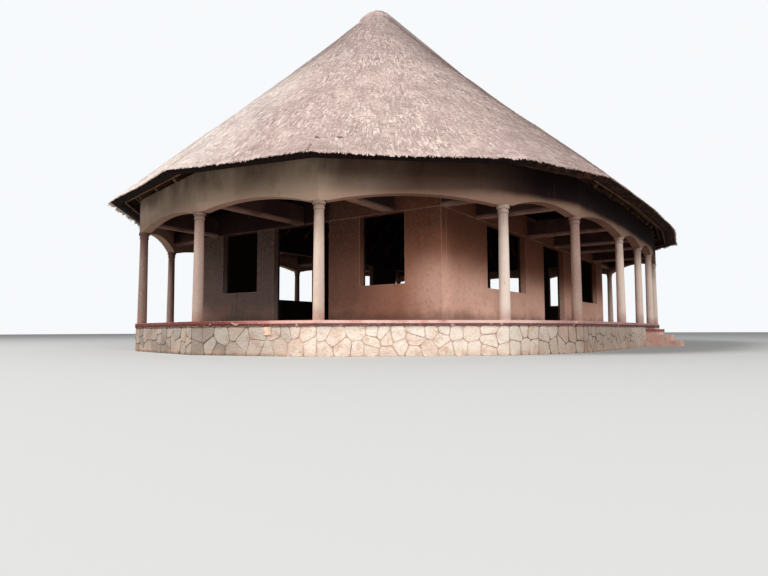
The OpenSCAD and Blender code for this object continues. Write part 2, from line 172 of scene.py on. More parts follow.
def math_node(tree, operation, *values, clamp=False):
    node = tree.nodes.new("ShaderNodeMath")
    node.operation = operation
    node.use_clamp = clamp
    for at, value in enumerate(values):
        feed(tree, value, node.inputs[at])
    return node.outputs[0]


def vector_node(tree, operation, one, other):
    node = tree.nodes.new("ShaderNodeVectorMath")
    node.operation = operation
    feed(tree, one, node.inputs[0])
    feed(tree, other, node.inputs[1])
    return node.outputs["Value" if operation == "DOT_PRODUCT" else "Vector"]


def noise(tree, vector, scale, detail, roughness=0.5):
    node = tree.nodes.new("ShaderNodeTexNoise")
    feed(tree, vector, node.inputs["Vector"])
    feed(tree, scale, node.inputs["Scale"])
    node.inputs["Detail"].default_value = detail
    node.inputs["Roughness"].default_value = roughness
    return node.outputs["Fac"]


def ramp_between(tree, value, low, high):
    """0 at low, 1 at high, and a smooth rise between; low may be the greater."""
    node = tree.nodes.new("ShaderNodeMapRange")
    node.interpolation_type = "SMOOTHSTEP"
    feed(tree, value, node.inputs["Value"])
    feed(tree, low, node.inputs["From Min"])
    feed(tree, high, node.inputs["From Max"])
    return node.outputs[0]


def new_group(name, **inputs):
    """An empty group with the given inputs and the output Mask."""
    group = bpy.data.node_groups.new(name, "ShaderNodeTree")
    for label, value in inputs.items():
        kind = "NodeSocketVector" if isinstance(value, tuple) else "NodeSocketFloat"
        group.interface.new_socket(label, in_out="INPUT", socket_type=kind).default_value = value
    group.interface.new_socket("Mask", in_out="OUTPUT", socket_type="NodeSocketFloat")
    return group, group.nodes.new("NodeGroupInput").outputs, group.nodes.new("NodeGroupOutput").inputs["Mask"]


# %% Blotches: clouds of a given size, stretched or not
blotch_group, given, mask = new_group("blotches", Scale=1.0, Stretch=(1, 1, 1), Low=0.4, High=0.65)
place = blotch_group.nodes.new("ShaderNodeTexCoord").outputs["Object"]
stretched = vector_node(blotch_group, "MULTIPLY", place, given["Stretch"])
clouds = noise(blotch_group, stretched, given["Scale"], detail=6.0, roughness=0.62)
blotch_group.links.new(ramp_between(blotch_group, clouds, given["Low"], given["High"]), mask)


def blotches(scale, low, high, stretch=(1, 1, 1)):
    return blotch_group, {"Scale": scale, "Low": low, "High": high, "Stretch": stretch}


print("effect:", blotch_group.name)

# %% Band: a rise from one height to another, with a wandering edge
band_group, given, mask = new_group("band", Along=(0, 0, 1), Start=0.0, End=1.0, Wander=0.2, Scale=2.0)
place = band_group.nodes.new("ShaderNodeTexCoord").outputs["Object"]
way = vector_node(band_group, "DOT_PRODUCT", place, given["Along"])
wave = math_node(band_group, "SUBTRACT", noise(band_group, place, given["Scale"], detail=4.0), 0.5)
shift = math_node(band_group, "MULTIPLY", wave, given["Wander"])
shifted = math_node(band_group, "ADD", way, shift)
band_group.links.new(ramp_between(band_group, shifted, given["Start"], given["End"]), mask)
TO_RIGHT, TO_FAR = (1, 0, 0), (0, 1, 0)
RIGHT_AND_NEAR, RIGHT_AND_FAR = (1, -0.1, 0), (1, 0.1, 0)


def band(start, end, wander, scale, along=(0, 0, 1)):
    return band_group, {"Start": start, "End": end, "Wander": wander, "Scale": scale, "Along": along}


print("effect:", band_group.name)

# %% Arrises: the edges of a solid, which wear pale, and on the ties carry painted light
arris_group, given, mask = new_group("arrises", Radius=0.03, Gain=2.5)
round_edge = arris_group.nodes.new("ShaderNodeBevel")
round_edge.samples = 4
arris_group.links.new(given["Radius"], round_edge.inputs["Radius"])
flat = arris_group.nodes.new("ShaderNodeNewGeometry")
alike = vector_node(arris_group, "DOT_PRODUCT", round_edge.outputs["Normal"], flat.outputs["True Normal"])
away = math_node(arris_group, "SUBTRACT", 1.0, alike)
arris_group.links.new(math_node(arris_group, "MULTIPLY", away, given["Gain"], clamp=True), mask)


def arrises(radius):
    return arris_group, {"Radius": radius}


print("effect:", arris_group.name)

# %% Inside the hall: painted shade, out of the sun
inside_group, given, mask = new_group("inside_hall", HalfWidth=3.74, HalfLength=6.59)
place = inside_group.nodes.new("ShaderNodeTexCoord").outputs["Object"]
apart = inside_group.nodes.new("ShaderNodeSeparateXYZ")
inside_group.links.new(place, apart.inputs[0])
within = [math_node(inside_group, "LESS_THAN", math_node(inside_group, "ABSOLUTE", apart.outputs[axis]), half)
          for axis, half in (("X", given["HalfWidth"]), ("Y", given["HalfLength"]))]
inside_group.links.new(math_node(inside_group, "MULTIPLY", *within), mask)
inside_hall = (inside_group, {})
print("effect:", inside_group.name)

# %% Own tone: a number read from the map that stones and straw bring along
tone_group, given, mask = new_group("own_tone", Number=(1, 0, 0), Low=0.0, High=1.0)
tone_map = tone_group.nodes.new("ShaderNodeUVMap")
tone_map.uv_map = "tone"
own = vector_node(tone_group, "DOT_PRODUCT", tone_map.outputs[0], given["Number"])
tone_group.links.new(ramp_between(tone_group, own, given["Low"], given["High"]), mask)
FIRST, SECOND = (1, 0, 0), (0, 1, 0)


def own_tone(low, high, number=FIRST):
    return tone_group, {"Low": low, "High": high, "Number": number}


print("effect:", tone_group.name)

# %% Streaks: lines down the slope, read from the map that the thatch brings along
streak_group, given, mask = new_group("streaks", Stretch=(1, 1, 1), Low=0.5, High=0.65)
lay_map = streak_group.nodes.new("ShaderNodeUVMap")
lay_map.uv_map = "lay"
drawn = vector_node(streak_group, "MULTIPLY", lay_map.outputs[0], given["Stretch"])
lines = noise(streak_group, drawn, 1.0, detail=2.0)
streak_group.links.new(ramp_between(streak_group, lines, given["Low"], given["High"]), mask)


def streaks(along_eave, down_slope, low, high):
    return streak_group, {"Stretch": (along_eave, down_slope, 1.0), "Low": low, "High": high}


print("effect:", streak_group.name)

# %% [markdown]
# ## Finishes for the solids that stay
# Walls, columns, beams, slab and poles already have the right shape, so each gets a
# finish on its own material slot. A finish starts from one plain colour, and each kind of
# weathering is then laid over it through one mask, or through several multiplied. The
# bumps are masks too, each with its height in metres. Mixing by masks is chosen over
# pictures because it stays sharp from near and far.

# %% Helpers for finishes
matt_sheen = 0.15


def linear(part):
    """The sRGB curve undone, for a number from 0 to 255."""
    return part / 255 / 12.92 if part <= 10 else ((part / 255 + 0.055) / 1.055) ** 2.4


def paint(colour):
    return tuple(linear(part) for part in colour) + (1,)


def mask_of(tree, masks):
    """The product of masks, each a group with its own values."""
    product = None
    for group, values in masks:
        node = tree.nodes.new("ShaderNodeGroup")
        node.node_tree = group
        for label, value in values.items():
            node.inputs[label].default_value = value
        seen = node.outputs["Mask"]
        product = seen if product is None else math_node(tree, "MULTIPLY", product, seen)
    return product


def lay_over(tree, under, label, colour, amount, *masks):
    mix = tree.nodes.new("ShaderNodeMix")
    mix.data_type = "RGBA"
    mix.label = label
    tree.links.new(math_node(tree, "MULTIPLY", mask_of(tree, masks), amount), mix.inputs["Factor"])
    tree.links.new(under, mix.inputs["A"])
    mix.inputs["B"].default_value = paint(colour)
    return mix.outputs["Result"]


def finish(name, colour, roughness, layers, bumps=()):
    """A material: layers of (label, colour, amount, masks) over a colour, bumps of (metres, mask)."""
    material = bpy.data.materials.new(name)
    material.use_nodes = True
    tree = material.node_tree
    shader = tree.nodes["Principled BSDF"]
    shader.inputs["Roughness"].default_value = roughness
    shader.inputs["Specular IOR Level"].default_value = matt_sheen
    start = tree.nodes.new("ShaderNodeRGB")
    start.outputs[0].default_value = paint(colour)
    top = start.outputs[0]
    for layer in layers:
        top = lay_over(tree, top, *layer)
    tree.links.new(top, shader.inputs["Base Color"])
    height = None
    for metres, mask in bumps:
        part = math_node(tree, "MULTIPLY", mask_of(tree, [mask]), metres)
        height = part if height is None else math_node(tree, "ADD", height, part)
    if height is not None:
        bump = tree.nodes.new("ShaderNodeBump")
        bump.inputs["Strength"].default_value = 1.0
        bump.inputs["Distance"].default_value = 1.0
        tree.links.new(height, bump.inputs["Height"])
        tree.links.new(bump.outputs["Normal"], shader.inputs["Normal"])
    return material


def wear(names, material):
    """Give CAD nodes a finish in place of their plain one."""
    for name in names:
        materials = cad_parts[name].data.materials
        materials.clear()
        materials.append(material)
    print(material.name, "on", len(names), "nodes")


def nodes_with(*words):
    return [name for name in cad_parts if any(word in name for word in words)]


print("a grey of 128 is written as", round(linear(128), 3))

# %% [markdown]
# ### Wall plaster
# The hall walls are floated by hand in an earth-red plaster that has faded in clouds, with
# greyer skirts where the floor is washed. One end wall has gone grey all over. It shares
# the red walls' layers under other base tones, because it weathers in the same way.
# Shade and light are painted on as well: painted shade on the upper walls under the
# verandah and on the lintels under the ring beam, painted light on the lower walls.

# %% Wall plaster
def wall_finish(name, base, cloud_tone, dust):
    return finish(name, base, 0.94, [
        ("clouds", cloud_tone, 0.75, blotches(0.55, 0.42, 0.66)),
        ("dust", dust, 0.5, blotches(1.7, 0.5, 0.72, (1, 1, 0.45))),
        ("runs", (84, 56, 46), 0.4, blotches(3.4, 0.56, 0.74, (1.6, 1.6, 0.3))),
        # painted shade on the upper walls under the verandah
        ("dark upper wall", (62, 34, 26), 0.8, band(1.5, 3.1, 0.5, 1.1)),
        ("brown by the door", (80, 60, 51), 0.6, band(3.3, 1.3, 0.4, 0.9, TO_RIGHT)),
        ("red by the corner", (118, 72, 50), 0.5,
         band(2.6, 3.2, 0.4, 0.9, TO_RIGHT), band(1.5, 2.1, 0.4, 0.9)),
        # painted light on the lower walls: the foot near the right corner, and patches along the foot
        ("bleached foot", (252, 210, 188), 0.8, band(2.3, 1.1, 0.5, 0.9), band(2.8, 3.8, 0.5, 0.9, TO_RIGHT)),
        ("faded foot", (176, 132, 112), 0.5, band(1.5, 0.9, 0.7, 1.2), blotches(0.9, 0.4, 0.62)),
        ("washed skirt", (96, 74, 66), 0.6, band(0.98, 0.68, 0.35, 2.2)),
        ("fine grain", cloud_tone, 0.25, blotches(38.0, 0.52, 0.62)),
        ("coarse grain", dust, 0.25, blotches(11.0, 0.5, 0.66)),
        ("worn edges", (206, 172, 152), 0.75, arrises(0.035), blotches(2.0, 0.32, 0.55)),
        # painted shade on the lintels just under the ring beam, to the left
        ("dark lintel", (34, 20, 24), 0.9, band(3.03, 3.12, 0.04, 1.2), band(1.1, 0.8, 0.1, 0.9, TO_RIGHT)),
        # painted shade over the walls inside the hall
        ("soot inside", (44, 32, 28), 0.93, inside_hall),
    ], [(0.010, blotches(2.2, 0.2, 0.8)), (0.0012, blotches(55.0, 0.3, 0.7))])


walls_red = wall_finish("plaster_earth_red", (176, 118, 93), (186, 138, 117), (148, 104, 86))
walls_grey = wall_finish("plaster_earth_grey", (168, 150, 142), (186, 168, 160), (140, 122, 114))
wear([name for name in nodes_with("_wall_", "lintel") if "plates" not in name], walls_red)
wear(["near_wall_left"], walls_grey)

# %% [markdown]
# ### Ring beam and tie beams
# The ring beam is rendered in a thin cement coat: grey brown. Light and shade are painted
# on it: painted light at the left, where the sun reaches it, and along its lower half and
# arch edges; painted shade to the right and up under the eave, with some stain on the
# right. The ties behind it are painted dark above, as painted shade, and pale along their
# bottom edges, as painted light.

# %% Beam plaster
beams = finish("plaster_beam", (164, 142, 124), 0.93, [
    ("clouds", (128, 106, 90), 0.7, blotches(0.8, 0.42, 0.62, (1, 1, 0.6))),
    # painted light on the left, where the sun reaches the beam
    ("sunny left", (204, 180, 160), 0.85, band(-1.2, -3.0, 0.8, 0.6, TO_RIGHT), blotches(0.9, 0.2, 0.5)),
    ("pale patches", (172, 150, 130), 0.4, blotches(1.9, 0.52, 0.7)),
    # painted light along the lower half and the arch edges
    ("warm lower half", (170, 142, 124), 0.6, band(3.24, 3.02, 0.16, 1.3)),
    ("pale arch edge", (186, 154, 134), 0.35, band(3.07, 2.98, 0.05, 2.0)),
    # painted shade up under the eave
    ("damp under the eave", (88, 64, 58), 0.65,
     band(3.2, 3.55, 0.3, 1.4), blotches(1.1, 0.36, 0.6, (1, 1, 0.35))),
    # painted shade on the right, deepest at the top, with some stain
    ("dark right", (66, 40, 31), 0.85, band(2.94, 3.16, 0.2, 1.2), band(1.6, 3.4, 1.0, 0.5, RIGHT_AND_FAR)),
    ("brown right foot", (104, 72, 58), 0.6,
     band(3.2, 3.0, 0.2, 1.2), band(1.6, 3.4, 1.0, 0.5, RIGHT_AND_FAR)),
    ("darkest right", (24, 8, 11), 0.97,
     band(3.02, 3.18, 0.06, 1.2), band(3.9, 5.2, 0.9, 0.5, RIGHT_AND_FAR)),
    ("runs", (96, 74, 64), 0.3, blotches(3.0, 0.58, 0.74, (1.6, 1.6, 0.5))),
], [(0.010, blotches(2.6, 0.2, 0.8)), (0.001, blotches(60.0, 0.3, 0.7))])
wear(nodes_with("ring_beam"), beams)

# %% Tie beam plaster
ties = finish("plaster_tie_beam", (150, 122, 110), 0.94, [
    # painted shade above, and painted light along the bottom edges
    ("dark above", (46, 28, 32), 0.93, band(3.09, 3.15, 0.02, 2.0)),
    ("pale bottom edges", (214, 184, 166), 0.7, arrises(0.04), band(3.14, 3.10, 0.01, 1.0)),
    ("clouds", (88, 66, 58), 0.6, blotches(1.4, 0.44, 0.64)),
], [(0.008, blotches(3.0, 0.2, 0.8))])
wear(nodes_with("tie_beams"), ties)

# %% [markdown]
# ### Columns
# The cast columns are the palest part: cream with pink-grey stains and dusty feet. Light
# and shade are painted on them by their place in the ring: painted light near the right
# corner and on the right flank, painted shade on the left half, on their heads and, as a
# painted shadow, on the near corner of the right flank. So the masks run across the hall
# and along it.

# %% Column plaster
right_flank = band(5.7, 5.9, 0.1, 1.0, TO_RIGHT)
columns = finish("plaster_column", (216, 192, 176), 0.86, [
    ("clouds", (196, 168, 152), 0.7, blotches(2.0, 0.45, 0.66, (1, 1, 0.5))),
    # painted light near the right corner
    ("pale near right", (240, 220, 206), 0.8,
     band(4.4, 5.0, 0.1, 1.0, TO_RIGHT), band(-5.4, -6.2, 0.1, 1.0, TO_FAR)),
    # painted shadow on the near corner of the right flank
    ("stained corner", (150, 118, 108), 0.8, right_flank, blotches(1.2, 0.1, 0.6, (1, 1, 0.4)),
     band(-3.2, -4.0, 0.1, 1.0, TO_FAR)),
    # painted light on the right flank
    ("pale right flank", (240, 218, 204), 0.7, right_flank, band(-3.8, -2.6, 0.1, 1.0, TO_FAR)),
    # painted shade on the left half, deepest at the far left
    ("greyer left half", (158, 134, 124), 0.75, band(1.9, 0.9, 0.1, 1.0, TO_RIGHT)),
    ("darkest left", (110, 84, 74), 0.6, band(-2.2, -2.9, 0.1, 1.0, TO_RIGHT)),
    ("runs", (150, 128, 116), 0.55, blotches(7.0, 0.57, 0.72, (2.0, 2.0, 0.35))),
    ("stained capital", (128, 104, 94), 0.5, band(2.62, 2.82, 0.1, 5.0), blotches(14.0, 0.42, 0.6)),
    ("dusty foot", (160, 112, 98), 0.55, band(0.98, 0.7, 0.3, 3.0)),
    ("grain", (222, 204, 188), 0.25, blotches(24.0, 0.54, 0.64)),
    ("shaded head", (120, 92, 82), 0.75, band(1.9, 2.95, 0.25, 1.5), blotches(2.6, 0.1, 0.5)),
], [(0.004, blotches(9.0, 0.2, 0.8)), (0.0006, blotches(90.0, 0.3, 0.7))])
wear(nodes_with("_columns"), columns)

# %% [markdown]
# ### Red slab and steps
# The floor slab is coloured with red floor wax. It is dull and dusty where people walk and
# chipped pale along the edge. It carries painted light on the right, and painted shade on
# the left, on the right flank, along the lower half of its edge and inside the hall. The
# steps are bare plaster with a red band along the slab.

# %% Red slab
slab_wax = finish("slab_red_wax", (184, 96, 90), 0.62, [
    ("worn wax", (226, 160, 150), 0.85, blotches(0.9, 0.34, 0.58)),
    # painted light on the right, painted shade on the left
    ("bleached right", (244, 204, 194), 0.9, band(1.0, 3.2, 1.0, 0.8, TO_RIGHT), blotches(2.2, 0.30, 0.52)),
    ("damp left", (96, 40, 38), 0.9, band(2.0, 0.6, 0.7, 1.1, TO_RIGHT), blotches(1.6, 0.18, 0.4)),
    ("dark patches", (120, 52, 50), 0.55, blotches(2.6, 0.55, 0.7)),
    # painted shadow on the right flank, and painted shade along the lower half of the edge
    ("greyer right flank", (150, 96, 100), 0.7, band(5.6, 6.1, 0.2, 1.1, TO_RIGHT)),
    ("dark drip edge", (74, 34, 28), 0.9, band(0.612, 0.600, 0.006, 2.0)),
    ("chipped edge", (246, 214, 200), 0.6, arrises(0.03), blotches(7.0, 0.4, 0.6)),
    ("chips", (232, 202, 186), 0.6, blotches(9.0, 0.6, 0.68)),
    ("grain", (200, 160, 144), 0.3, blotches(45.0, 0.54, 0.62)),
    # painted shade on the floor inside the hall, where it is also unwaxed
    ("dusty inside", (112, 78, 72), 0.8, inside_hall, band(1.5, 1.0, 0.0, 1.0)),
], [(0.004, blotches(9.0, 0.3, 0.7)), (0.001, blotches(60.0, 0.3, 0.7))])
wear(["floor_slab"], slab_wax)

# %% Steps and mortar
steps = finish("step_plaster", (226, 196, 178), 0.8, [
    ("clouds", (204, 150, 138), 0.7, blotches(1.4, 0.42, 0.62)),
    ("red band", (150, 52, 60), 0.85, band(0.38, 0.44, 0.02, 3.0)),
    ("dirt", (168, 128, 112), 0.5, blotches(6.0, 0.52, 0.66)),
    ("worn edges", (246, 226, 212), 0.6, arrises(0.03), blotches(5.0, 0.35, 0.6)),
], [(0.003, blotches(12.0, 0.3, 0.7))])
wear(["right_steps", "left_steps"], steps)

mortar = finish("mortar", (228, 202, 184), 0.95, [
    ("clouds", (186, 154, 134), 0.7, blotches(5.0, 0.42, 0.64)),
    # painted shade on the joints at the right and at the left
    ("dark right", (88, 68, 58), 0.8, band(5.8, 6.6, 0.3, 0.8, RIGHT_AND_NEAR)),
    ("dark left", (104, 90, 82), 0.8, band(3.4, 1.4, 1.2, 0.8, RIGHT_AND_NEAR)),
], [(0.004, blotches(40.0, 0.3, 0.7))])
wear(nodes_with("plinth"), mortar)

# %% [markdown]
# ### Roof poles
# Below the thatch the rafters, purlins and plates are peeled poles gone grey brown. The
# grain would follow each pole in a close view, but from the ground a stretched mottle
# reads as bark and weather.

# %% Poles
poles = finish("peeled_poles", (122, 92, 70), 0.8, [
    ("bark patches", (70, 48, 38), 0.7, blotches(3.0, 0.4, 0.64)),
    ("pale wood", (168, 140, 112), 0.45, blotches(14.0, 0.56, 0.7, (1, 1, 0.3))),
    # painted shade on the poles up in the loft
    ("dark loft", (40, 29, 25), 0.9, band(3.9, 4.6, 0.3, 1.0)),
], [(0.004, blotches(22.0, 0.3, 0.7, (1, 1, 0.3)))])
wear(nodes_with("rafters", "purlins", "plates", "ridge_pole", "crown_hubs"), poles)

# %% [markdown]
# ## Plan of the columns
# The plinth, the ring beam and the thatch all turn at the columns: straight along the two
# flanks and round an apex at each end. The solids were drawn from the angles and places
# below, and the new pieces repeat them, so that they turn at the same corners. The column
# midway along each flank is left out, because nothing turns there.

# %% Columns in plan
ring_r, end_y = 6.3, 3.45
near_angles = [-62.4, -29.6, 0, 24.9, 57.3, 76.3]
far_angles = [71.4, 37, 4, -29, -62]
right_places, left_places = [-1.58, 2.55], [3.25, -3.25]
near_apex, far_apex = (0.0, -end_y), (0.0, end_y)


def on_end(angle, side):
    a = math.radians(angle)
    return (ring_r * math.sin(a), side * (end_y + ring_r * math.cos(a)))


near_cols = [on_end(a, -1) for a in near_angles]
far_cols = [on_end(a, 1) for a in far_angles]
right_cols = [(ring_r, y) for y in right_places]
left_cols = [(-ring_r, y) for y in left_places]
print(len(near_cols + right_cols + far_cols + left_cols), "columns at which the outline turns")

# %% [markdown]
# ## Face stones of the plinth
# The plinth is faced with flat stones of every outline, fitted like a puzzle, with narrow
# joints of mortar. Cut from a picture they would be flat, so each is a raised stone. The
# mason's way is followed: for each bay, stone middles are strewn, every stone takes the
# ground nearer to its own middle than to any other, and is then cut back for the joint.
# The outlines are laid flat as on a bench, given thickness and a worn edge, and then
# stood up against the bay.

# %% Where the stones go
plinth_out, stone_top = 0.12, 0.548
steps_y, step_half = 1.69, 0.72
face_k = 1 + plinth_out / ring_r


def plinth_corner(apex, column):
    """A column's place pushed out from its apex to the face of the plinth."""
    return Vector((column[0] * face_k, apex[1] + (column[1] - apex[1]) * face_k))


plinth_corners = [plinth_corner(near_apex, c) for c in near_cols]
plinth_corners += [plinth_corner(a, c) for a, c in zip((near_apex, far_apex), right_cols)]
plinth_corners += [plinth_corner(far_apex, c) for c in far_cols]
plinth_corners += [plinth_corner(a, c) for a, c in zip((far_apex, near_apex), left_cols)]
panels = []
for start, end in zip(plinth_corners, plinth_corners[1:] + plinth_corners[:1]):
    way = (end - start).normalized()
    cuts = [0.0, (end - start).length]
    if abs(way.x) < 1e-3:
        middle = (steps_y - start.y) * way.y
        cuts = [0.0, middle - step_half, middle + step_half, cuts[1]]
    for near_cut, far_cut in zip(cuts[::2], cuts[1::2]):
        panels.append((start + way * near_cut, way, far_cut - near_cut))
print(len(panels), "plinth panels,", round(sum(p[2] for p in panels), 1), "metres of stone")

# %% Middles of the stones
stone_pitch, two_high, one_high = 0.27, 0.62, 0.3
stray_along, stray_up = 0.34, 0.26


def strew(rng, length):
    """Stone middles over a panel: upright strips of one, two or three, each a little astray."""
    middles = []
    strips = max(2, round(length / stone_pitch))
    for c in range(strips):
        rows = 2 if rng.random() < two_high else (1 if rng.random() < one_high else 3)
        for r in range(rows):
            along = (c + 0.5 + rng.uniform(-stray_along, stray_along)) * length / strips
            up = (r + 0.5 + rng.uniform(-stray_up, stray_up)) * stone_top / rows
            middles.append(Vector((along, up)))
    return middles


print("a panel of 3 m takes", len(strew(random.Random(1), 3.0)), "stones")

# %% Outlines of the stones
least_joint, most_joint, most_turn = 0.005, 0.013, 0.06
least_side, first_round, second_round, most_share = 0.004, 0.030, 0.010, 0.30


def cut_back(outline, point, normal):
    """Keep the part of an outline on the near side of a line."""
    kept = []
    for a, b in zip(outline, outline[1:] + outline[:1]):
        da, db = (a - point).dot(normal), (b - point).dot(normal)
        if da <= 0:
            kept.append(a)
        if (da < 0 < db) or (db < 0 < da):
            kept.append(a + (b - a) * (da / (da - db)))
    return kept


def round_off(outline, reach):
    """Replace each corner by two points a little way along its sides."""
    soft = []
    for i, here in enumerate(outline):
        for other in (outline[i - 1], outline[(i + 1) % len(outline)]):
            side = other - here
            soft.append(here + side * min(most_share, reach / max(side.length, 1e-6)))
    return soft


def stone_outline(rng, middles, i, length):
    gap = rng.uniform(least_joint, most_joint)
    foot = gap * 0.3
    box = ((gap, foot), (length - gap, foot), (length - gap, stone_top), (gap, stone_top))
    outline = [Vector(c) for c in box]
    for j, other in enumerate(middles):
        if j != i and outline:
            normal = (other - middles[i]).normalized()
            turn = rng.uniform(-most_turn, most_turn)
            normal = Vector((normal.x - turn * normal.y, normal.y + turn * normal.x)).normalized()
            outline = cut_back(outline, (other + middles[i]) / 2 - normal * gap, normal)
    clean = [p for i, p in enumerate(outline) if (p - outline[i - 1]).length > least_side]
    return round_off(round_off(clean, first_round), second_round) if len(clean) > 2 else []


alone = stone_outline(random.Random(1), [Vector((0.1, 0.1))], 0, 0.2)
print("a stone with no neighbour has", len(alone), "corners")

# %% Thicken the outlines
stone_thick, worn_rim, rim_rise = 0.016, 0.011, 0.005


def thick_stones(outlines):
    """One object of raised stones from flat outlines, backs down."""
    corners, faces = [], []
    for outline in outlines:
        faces.append(list(range(len(corners), len(corners) + len(outline))))
        corners += [(p.x, p.y, 0.0) for p in outline]
    mesh = bpy.data.meshes.new("stones")
    mesh.from_pydata(corners, [], faces)
    stones = bpy.data.objects.new("stones", mesh)
    bpy.context.scene.collection.objects.link(stones)
    clear_selection()
    bpy.context.view_layer.objects.active = stones
    stones.select_set(True)
    thick = stones.modifiers.new("thickness", "SOLIDIFY")
    thick.thickness = stone_thick
    thick.offset = 1.0
    bpy.ops.object.modifier_apply(modifier="thickness")
    bpy.ops.object.mode_set(mode="EDIT")
    bpy.ops.mesh.select_all(action="SELECT")
    bpy.ops.mesh.normals_make_consistent(inside=False)
    bpy.ops.mesh.select_all(action="DESELECT")
    edit = bmesh.from_edit_mesh(stones.data)
    for face in edit.faces:
        face.select = face.normal.z > 0.9
    bmesh.update_edit_mesh(stones.data)
    bpy.ops.mesh.inset(thickness=worn_rim, depth=rim_rise, use_individual=True)
    bpy.ops.object.mode_set(mode="OBJECT")
    return stones


print("stones are", stone_thick, "m thick, and", rim_rise, "m more inside their worn rims")

# %% Tone the stones and stand them up
least_proud, most_proud, bedded = 0.004, 0.0285, 0.002
thinnest, thickest, most_lean = 0.7, 1.25, 0.03


def owners_of(mesh, middles):
    """The stone that each corner belongs to."""
    owners = {}
    for face in mesh.polygons:
        x, y = face.center.x, face.center.y
        owner = min(range(len(middles)), key=lambda m: (middles[m].x - x) ** 2 + (middles[m].y - y) ** 2)
        for v in face.vertices:
            owners[v] = owner
    return owners


def lay_stones(number, panel):
    rng = random.Random(500 + number)
    start, way, length = panel
    middles = strew(rng, length)
    outlines = [stone_outline(rng, middles, i, length) for i in range(len(middles))]
    stones = thick_stones([outline for outline in outlines if outline])
    lifts = [(rng.uniform(thinnest, thickest), rng.uniform(-most_lean, most_lean),
              rng.uniform(-most_lean, most_lean)) for _ in middles]
    owners = owners_of(stones.data, middles)
    uv = stones.data.uv_layers.new(name="tone")
    tones = [(rng.random(), rng.random()) for _ in middles]
    for face in stones.data.polygons:
        for corner in face.loop_indices:
            uv.data[corner].uv = tones[owners[stones.data.loops[corner].vertex_index]]
    for vertex in stones.data.vertices:
        scale, lean_x, lean_y = lifts[owners[vertex.index]]
        x, y, z = vertex.co
        middle = middles[owners[vertex.index]]
        if z > 0.001:
            z = z * scale + (x - middle.x) * lean_x + (y - middle.y) * lean_y
            z = min(most_proud, max(least_proud, z))
        out = Vector((way.y, -way.x)) * (z - bedded)
        vertex.co = (start.x + way.x * x + out.x, start.y + way.y * x + out.y, y)
    return stones


faced = [lay_stones(i, panel) for i, panel in enumerate(panels)]
print("stones laid in", len(faced), "panels")

# %% Join the panels
clear_selection()
for piece in faced:
    piece.select_set(True)
bpy.context.view_layer.objects.active = faced[0]
bpy.ops.object.join()
paving = bpy.context.object
paving.name = "plinth_paving_stones"
bpy.ops.object.mode_set(mode="EDIT")
bpy.ops.mesh.select_all(action="SELECT")
bpy.ops.mesh.normals_make_consistent(inside=False)
bpy.ops.object.mode_set(mode="OBJECT")
bpy.ops.object.shade_smooth_by_angle(angle=math.radians(38))
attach(paving, "root")
print("paving:", len(paving.data.polygons), "faces")

# %% [markdown]
# ### Stone finish
# Every stone has its own tone: cream, pink, grey or rust, read from the tone kept with it.
# Over that go mineral clouds, grain, pits, and dirt splashed up from the ground. The
# stones at the left are painted greyer, as painted shade; the right half is painted paler,
# as painted light, and the far right flank duller, as a painted shadow.

# %% Stone finish
shady = band(3.8, 1.9, 1.0, 0.8, RIGHT_AND_NEAR)
stone_face = finish("paving_stone", (242, 222, 206), 0.92, [
    ("pink stones", (234, 204, 182), 0.8, own_tone(0.62, 0.80)),
    ("grey stones", (222, 206, 188), 0.6, own_tone(0.34, 0.22)),
    ("rusty stones", (196, 150, 124), 0.6, own_tone(0.93, 0.97)),
    ("cream stones", (252, 242, 226), 0.6, own_tone(0.6, 0.9, SECOND)),
    # painted light on the right half
    ("clean right half", (255, 238, 222), 0.75, band(1.6, 3.4, 0.8, 0.8, RIGHT_AND_NEAR),
     band(6.6, 5.6, 0.5, 0.8, RIGHT_AND_NEAR)),
    ("rust clouds", (226, 178, 152), 0.55, blotches(2.2, 0.48, 0.66)),
    ("tan clouds", (206, 176, 150), 0.4, blotches(4.4, 0.52, 0.66)),
    ("pale clouds", (250, 238, 222), 0.45, blotches(5.5, 0.52, 0.66)),
    ("grain", (186, 164, 146), 0.45, blotches(15.0, 0.56, 0.7)),
    ("shady left", (146, 134, 124), 0.72, shady),
    ("paler there", (196, 176, 158), 0.6, shady, own_tone(0.72, 0.9)),
    ("browner there", (150, 110, 90), 0.5, shady, blotches(1.7, 0.52, 0.66)),
    # painted shadow on the far right flank
    ("dull right flank", (140, 118, 104), 0.75, band(5.9, 6.9, 0.4, 0.8, RIGHT_AND_NEAR)),
    ("greyer there", (120, 108, 98), 0.5, shady, own_tone(0.55, 0.2, SECOND)),
    ("splashed earth", (206, 160, 128), 0.5, band(0.2, 0.02, 0.22, 3.0), blotches(3.0, 0.35, 0.6)),
    ("damp foot", (96, 84, 74), 0.6, band(0.07, 0.0, 0.10, 5.0), shady),
], [(0.010, blotches(7.0, 0.2, 0.8)), (0.004, blotches(28.0, 0.3, 0.7)), (0.001, blotches(110.0, 0.3, 0.7))])
paving.data.materials.append(stone_face)
print("stone finish on", paving.name)

# %% [markdown]
# ### Drain block
# One small square block with a hole sits high in a bay beside the near corner: the drain
# of the verandah floor. It could be painted on, but a beveled block with a real recess
# catches the light as the real one does.

